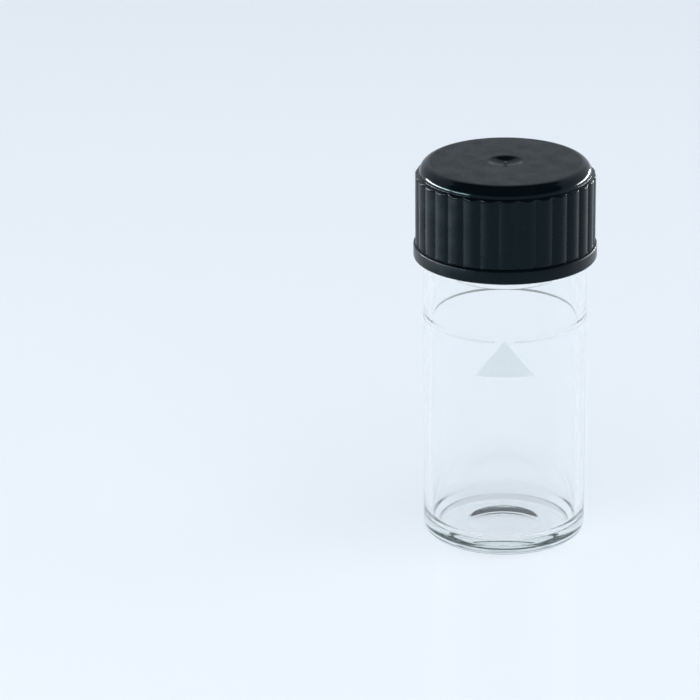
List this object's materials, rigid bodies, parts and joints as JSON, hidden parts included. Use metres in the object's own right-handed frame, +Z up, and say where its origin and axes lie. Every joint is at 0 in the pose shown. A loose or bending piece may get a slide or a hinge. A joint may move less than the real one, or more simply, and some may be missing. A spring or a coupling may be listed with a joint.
{
  "type": "glass sample vial",
  "caption": "Round clear glass sample vial with a ribbed black screw cap, and a fill line and alignment triangle fired on the wall.",
  "frame": {"origin": "centre of the base, on the surface the vial stands on", "axes": "+Z up along the vial's axis; -Y is the front, where the alignment triangle faces"},
  "size_m": [0.028, 0.028, 0.06],
  "materials": {
    "clear_glass": "polished",
    "black_plastic": "satin",
    "liner_plastic": "matte",
    "white_enamel": "satin"
  },
  "bodies": {
    "vial": {"glass_vial": "clear_glass", "fill_line": "white_enamel", "alignment_triangle": "white_enamel"},
    "liner": {"cap_liner": "liner_plastic"},
    "cap": {"screw_cap": "black_plastic"}
  },
  "joints": [
    {"name": "cap_lift", "type": "slide", "parent": "vial", "child": "liner", "axis": [0, 0, 1], "range_m": [0, 0.0048]},
    {"name": "cap_turn", "type": "hinge", "parent": "liner", "child": "cap", "pos_m": [0, 0, 0.0525], "axis": [0, 0, 1], "range_deg": [0, 540]}
  ],
  "couplings": [
    {"joint": "cap_lift", "follows": "cap_turn", "m_per_rad": 0.00050532}
  ]
}
